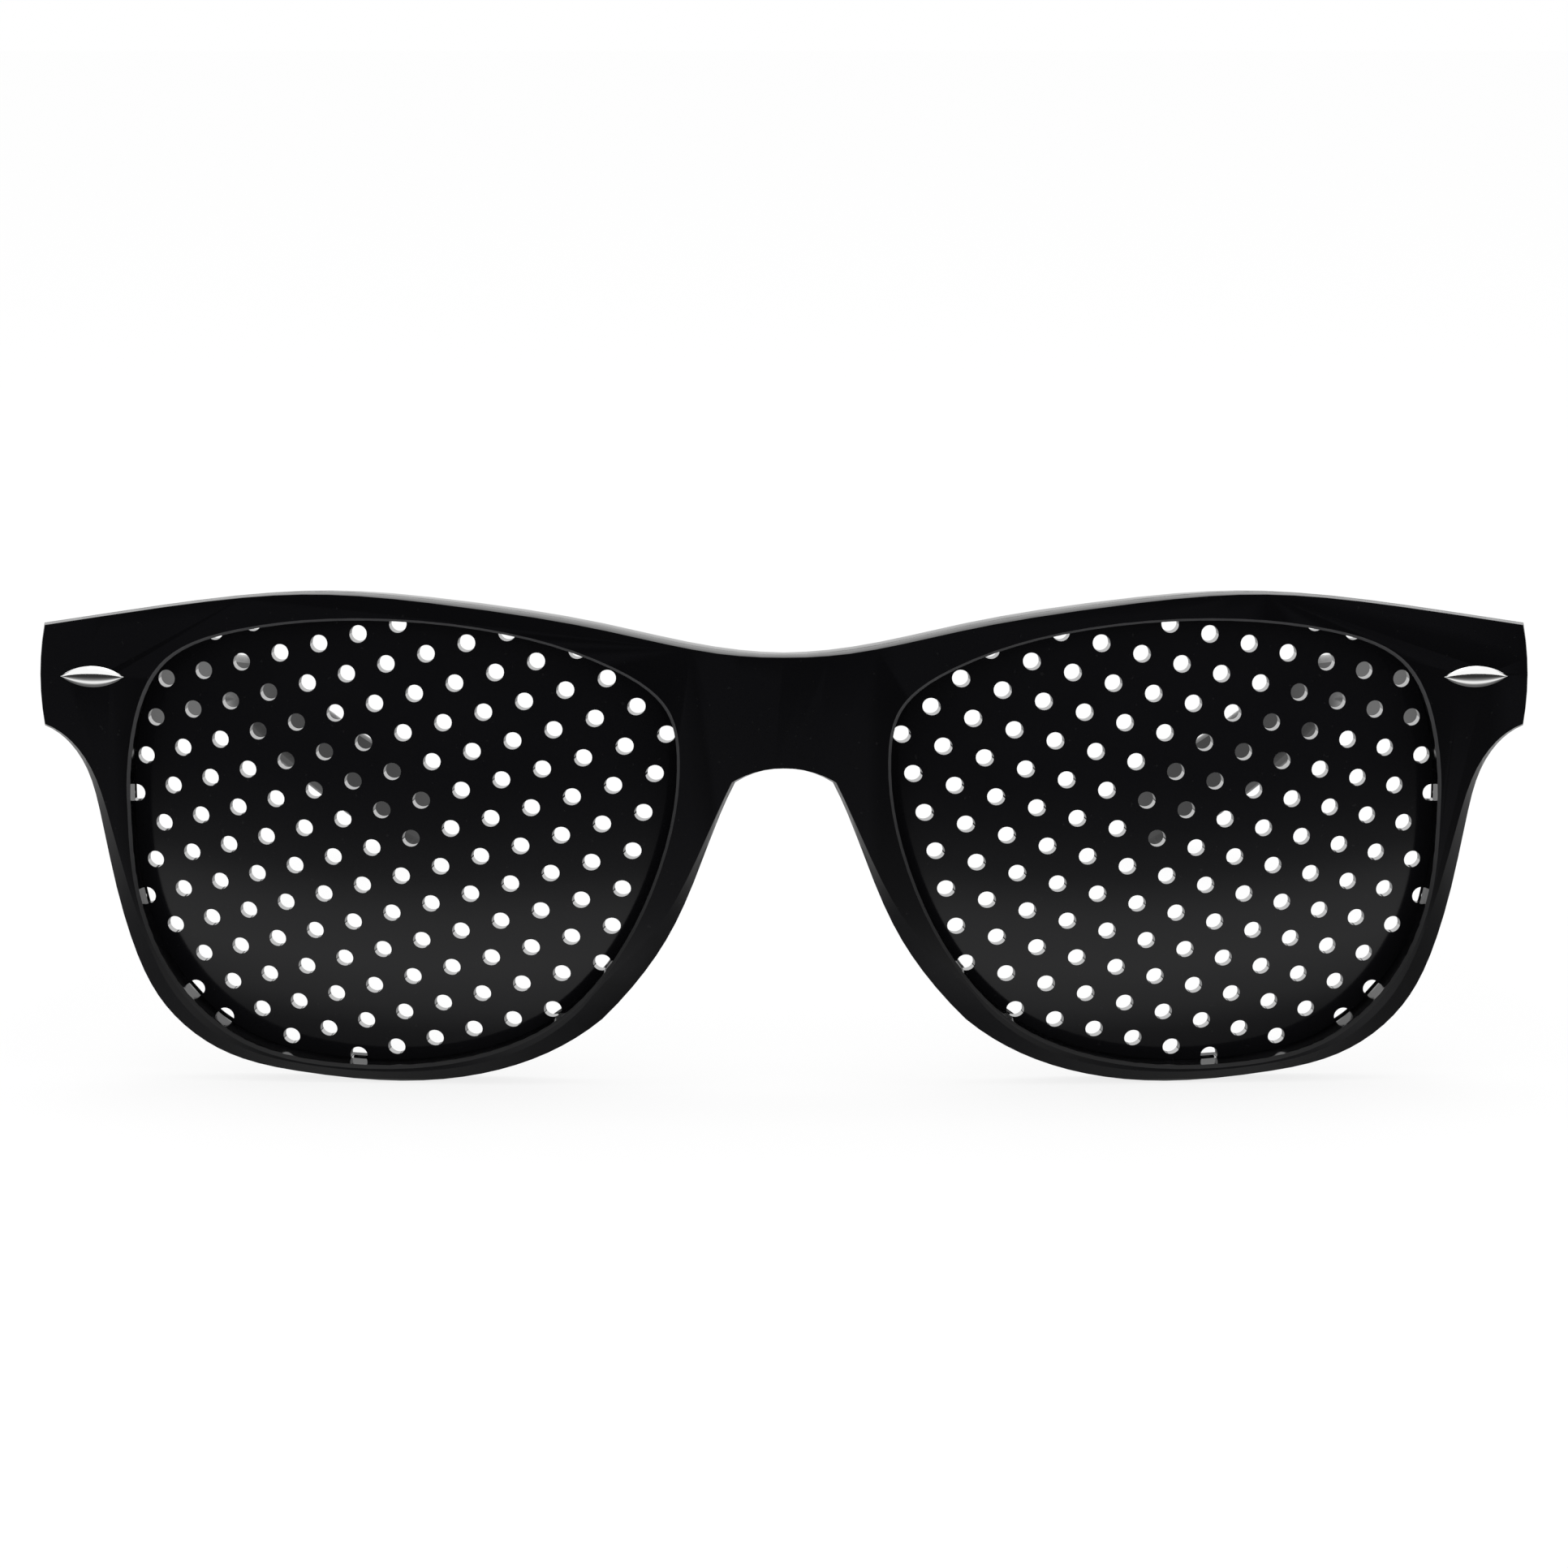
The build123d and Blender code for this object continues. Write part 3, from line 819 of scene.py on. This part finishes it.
def shield_mesh(name, mirrored):
    """An almond shield on two pins, crowned to a soft ridge that runs from tip to tip."""
    to_rim = rim_frame().inverted()
    corners = [to_rim @ corner.co for corner in frame["nodes"]["left_front_shield"].data.vertices]
    low, high = [Vector([pick(axis) for axis in zip(*corners)]) for pick in (min, max)]
    middle = (low + high) / 2
    half_long, half_wide = (high.x - low.x) / 2, settings().metal.shield_height / 2
    bow = (half_long**2 + half_wide**2) / (2 * half_wide)
    spread = [step / SHIELD_STEPS_WIDE for step in range(-SHIELD_STEPS_WIDE, SHIELD_STEPS_WIDE + 1)]
    points, faces = [], []
    for column in range(SHIELD_STEPS_LONG + 1):
        along = half_long * (2 * column / SHIELD_STEPS_LONG - 1)
        wide = sqrt(bow**2 - along**2) - bow + half_wide
        section = [(-wide, 0.0), (-wide, SHIELD_EDGE - SHIELD_EASE)]
        for share in spread:
            slope_length = 1 - SHIELD_RIDGE if share > SHIELD_RIDGE else 1 + SHIELD_RIDGE
            reach = (share - SHIELD_RIDGE) / slope_length
            crown = (high.z - SHIELD_EDGE) * wide / half_wide * (1 - abs(reach) ** SHIELD_CREST)
            section.append((share * max(wide - SHIELD_EASE, 0), SHIELD_EDGE + crown))
        section += [(wide, SHIELD_EDGE - SHIELD_EASE), (wide, 0.0)]
        points += [Vector((middle.x + along, middle.y + across, height)) for across, height in section]
    count = len(points) // (SHIELD_STEPS_LONG + 1)
    for column in range(SHIELD_STEPS_LONG):
        for row in range(count):
            near, far = column * count + row, column * count + (row + 1) % count
            faces.append((near, near + count, far + count, far))
    mesh = bpy.data.meshes.new(name)
    mesh.from_pydata(points, [], faces)
    shape = bmesh.new()
    shape.from_mesh(mesh)
    for side in (-1, 1):
        pin = Matrix.Translation((middle.x + side * SHIELD_PIN_SPREAD, middle.y, low.z / 2))
        bmesh.ops.create_cone(
            shape, cap_ends=True, segments=HOLE_SIDES, radius1=SHIELD_PIN_RADIUS,
            radius2=SHIELD_PIN_RADIUS, depth=-low.z, matrix=pin,
        )
    shape.transform(rim_frame())
    if mirrored:
        shape.transform(Matrix.Scale(-1, 4, (1, 0, 0)))
    bmesh.ops.remove_doubles(shape, verts=shape.verts, dist=WELD)
    bmesh.ops.recalc_face_normals(shape, faces=shape.faces)
    shape.to_mesh(mesh)
    shape.free()
    mesh.shade_smooth()
    mesh.set_sharp_from_angle(angle=SHIELD_SHARP)
    return mesh


class Maker(bpy.types.Operator):
    """Shared by the operators that make the pieces"""

    bl_idname = "pinhole_glasses.maker"
    bl_label = "Maker"
    bl_options = {"REGISTER", "UNDO"}


class GLASSES_OT_front(Maker):
    """Rounds the moulded front's edges and polishes its plastic"""

    bl_idname = "pinhole_glasses.front"
    bl_label = "Front"

    def execute(self, context):
        front = settings().front
        plastic = gloss_plastic(
            "polished black plastic", tuple(front.colour), front.roughness, FRONT_FLOW, FRONT_SHEEN,
            FRONT_WEAR,
        )
        lip = painted_highlight_lip("lens opening lip", tuple(front.lip))
        dress(rounded_front(front.edge_round), plastic, lip)
        return {"FINISHED"}


class GLASSES_OT_temples(Maker):
    """Polishes the two side arms"""

    bl_idname = "pinhole_glasses.temples"
    bl_label = "Temples"

    def execute(self, context):
        plastic = bpy.data.materials["polished black plastic"]
        for side in SIDES:
            dress(frame["nodes"][side + "_temple"], plastic)
        return {"FINISHED"}


class GLASSES_OT_plates(Maker):
    """Makes the pinhole plates with round, eased holes"""

    bl_idname = "pinhole_glasses.plates"
    bl_label = "Pinhole plates"

    def execute(self, context):
        plates = settings().plates
        plastic = gloss_plastic(
            "moulded black plate", tuple(plates.colour), plates.roughness, PLATE_FLOW, PLATE_SHEEN,
            PLATE_WEAR,
        )
        wall = burnished_wall("pinhole wall", tuple(plates.colour))
        for side in SIDES:
            name = side + "_round_pinhole_plate"
            piece = new_piece(name, plate_mesh(name, side == "right"))
            dress(carried(piece, side + "_pinhole_plate"), plastic, wall)
        return {"FINISHED"}


class GLASSES_OT_shields(Maker):
    """Makes the ridged, polished shields on the end pieces"""

    bl_idname = "pinhole_glasses.shields"
    bl_label = "Shields"

    def execute(self, context):
        metal = polished_metal("polished shield", tuple(settings().metal.shield))
        for side in SIDES:
            name = side + "_ridged_shield"
            piece = new_piece(name, shield_mesh(name, side == "right"))
            dress(carried(piece, side + "_front_shield"), metal)
        return {"FINISHED"}


class GLASSES_OT_hinges(Maker):
    """Finishes the hinge leaves and their screws"""

    bl_idname = "pinhole_glasses.hinges"
    bl_label = "Hinges"

    def execute(self, context):
        metal = settings().metal
        leaf = satin_steel("satin hinge", tuple(metal.hinge), LEAF_GRAIN)
        screw = satin_steel("turned screw", tuple(metal.screw), SCREW_GRAIN)
        for side in SIDES:
            dress(frame["nodes"][side + "_front_hinge_leaf"], leaf)
            dress(frame["nodes"][side + "_temple_hinge_leaf"], leaf)
            dress(frame["nodes"][side + "_hinge_screw"], screw)
        return {"FINISHED"}


class GLASSES_OT_stage(Maker):
    """Lays the floor, hangs the lights and aims the camera"""

    bl_idname = "pinhole_glasses.stage"
    bl_label = "Stage"

    def execute(self, context):
        lay_floor()
        stand_painted_reflection_card()
        light_round()
        aim_camera()
        context.scene.view_settings.view_transform = "Standard"
        return {"FINISHED"}


def seen_share(finish):
    """1 for what the camera sees, by itself or in a gloss, and 0 for what only lights."""
    rays = [
        finish.node("ShaderNodeLightPath", out=name)
        for name in ("Is Camera Ray", "Is Glossy Ray", "Is Transmission Ray")
    ]
    return rays[0].larger(rays[1]).larger(rays[2])


def lay_floor():
    """A pale floor that looks white, with the glasses' shadow on it."""
    stage = settings().stage
    mesh = bpy.data.meshes.new("floor")
    corners = [(x * FLOOR_HALF, y * FLOOR_HALF, 0) for x, y in ((-1, -1), (1, -1), (1, 1), (-1, 1))]
    mesh.from_pydata(corners, [], [(0, 1, 2, 3)])
    floor = new_piece("floor", mesh)
    material, finish = new_finish("pale floor")
    grain = finish.noise(FLOOR_GRAIN, 3)
    tone = finish.mix(grain * 0.2, tuple(stage.floor), shade(stage.floor, 0.97))
    matt = finish.node("ShaderNodeBsdfDiffuse", None, {"Color": tone})
    glow = finish.node("ShaderNodeEmission", None, {"Color": (1, 1, 1), "Strength": FLOOR_GLOW})
    share = seen_share(finish) * FLOOR_GLOW_SHARE
    finish.end(finish.node("ShaderNodeMixShader", None, {0: share, 1: matt, 2: glow}))
    dress(floor, material)


def stand_painted_reflection_card():
    """A card of graded tones under and ahead of the glasses, a painted reflection of the floor with a painted
    shadow under the glasses; it bends up far ahead and is seen only in gloss.
    """
    nose = CAD_BOX[0].y
    first, last = CARD_TONES[0][0], CARD_TONES[-1][0]
    bend = nose - CARD_LENGTH
    profile = [(nose - first, CARD_LIFT), (bend, CARD_LIFT)]
    for step in range(1, CARD_STEPS + 1):
        angle = pi / 2 * step / CARD_STEPS
        profile.append((bend - CARD_BEND * sin(angle), CARD_LIFT + CARD_BEND * (1 - cos(angle))))
    mesh = bpy.data.meshes.new("painted reflection card")
    corners = [(side * CARD_HALF, y, z) for y, z in profile for side in (-1, 1)]
    strips = [(2 * row, 2 * row + 1, 2 * row + 3, 2 * row + 2) for row in range(len(profile) - 1)]
    mesh.from_pydata(corners, [], strips)
    card = new_piece("painted_reflection_card", mesh)
    material, finish = new_finish("painted reflection card")
    # Painted reflection: the tones stand in for the lit floor and the shade under and far ahead of the glasses,
    # and the card glows though it is no lamp.
    share = finish.along("Y", nose - first, nose - last)
    tone = finish.ramp(share, *[((ahead - first) / (last - first), level) for ahead, level in CARD_TONES])
    finish.end(finish.node("ShaderNodeEmission", None, {"Color": tone, "Strength": 1.0}))
    dress(card, material)
    card.visible_camera = False
    card.visible_diffuse = False
    card.visible_shadow = False
    card.visible_transmission = False


def light_round():
    """Even light from all round, white where it is seen, and a softbox above."""
    stage = settings().stage
    world = bpy.data.worlds.new("white studio")
    bpy.context.scene.world = world
    finish = Finish(world, "ShaderNodeOutputWorld")
    lit = finish.node("ShaderNodeBackground", None, {"Color": (1, 1, 1), "Strength": stage.sky})
    white = finish.node("ShaderNodeBackground", None, {"Color": (1, 1, 1), "Strength": 1.0})
    finish.end(finish.node("ShaderNodeMixShader", None, {0: seen_share(finish), 1: lit, 2: white}))
    lamp = bpy.data.lights.new("softbox", "AREA")
    lamp.energy = stage.key
    lamp.size = SOFTBOX_SIDE
    softbox = new_piece("softbox", lamp)
    softbox.location = SOFTBOX_PLACE


def aim_camera():
    """The camera where the photograph was taken from."""
    stage = settings().stage
    apex = place_on_frame()[0]
    ahead = Vector((0, cos(stage.elevation), -sin(stage.elevation)))
    above = Vector((0, sin(stage.elevation), cos(stage.elevation)))
    data = bpy.data.cameras.new("camera")
    data.lens = data.sensor_width * stage.focal_pixels / stage.picture
    camera = new_piece("camera", data)
    camera.location = apex - stage.distance * ahead + stage.rise * above
    camera.rotation_euler = ahead.to_track_quat("-Z", "Y").to_euler()
    bpy.context.scene.camera = camera


class GLASSES_PG_all(bpy.types.PropertyGroup):
    """All settings of the glasses."""

    front: bpy.props.PointerProperty(type=GLASSES_PG_front)
    plates: bpy.props.PointerProperty(type=GLASSES_PG_plates)
    metal: bpy.props.PointerProperty(type=GLASSES_PG_metal)
    stage: bpy.props.PointerProperty(type=GLASSES_PG_stage)


STEPS = (
    GLASSES_OT_front, GLASSES_OT_temples, GLASSES_OT_plates, GLASSES_OT_shields,
    GLASSES_OT_hinges, GLASSES_OT_stage,
)


class GLASSES_PT_panel(bpy.types.Panel):
    """Lists the steps that finish the glasses"""

    bl_idname = "GLASSES_PT_panel"
    bl_label = "Pinhole glasses"
    bl_space_type = "VIEW_3D"
    bl_region_type = "UI"
    bl_category = "Glasses"

    def draw(self, context):
        for step in STEPS:
            self.layout.operator(step.bl_idname)
        for group in ("front", "plates", "metal", "stage"):
            box = self.layout.box()
            values = getattr(settings(), group)
            for name in values.__annotations__:
                box.prop(values, name)


CLASSES = (
    GLASSES_PG_front, GLASSES_PG_plates, GLASSES_PG_metal, GLASSES_PG_stage, GLASSES_PG_all,
    *STEPS, GLASSES_PT_panel,
)


def register():
    """Makes the settings, the operators and the panel known."""
    for made in CLASSES:
        bpy.utils.register_class(made)
    bpy.types.Scene.pinhole_glasses = bpy.props.PointerProperty(type=GLASSES_PG_all)


def unregister():
    """Takes them away again."""
    del bpy.types.Scene.pinhole_glasses
    for made in reversed(CLASSES):
        bpy.utils.unregister_class(made)


def main():
    """Makes everything in order."""
    register()
    for step in STEPS:
        group, name = step.bl_idname.split(".")
        getattr(getattr(bpy.ops, group), name)()


if __name__ == "__main__":
    main()
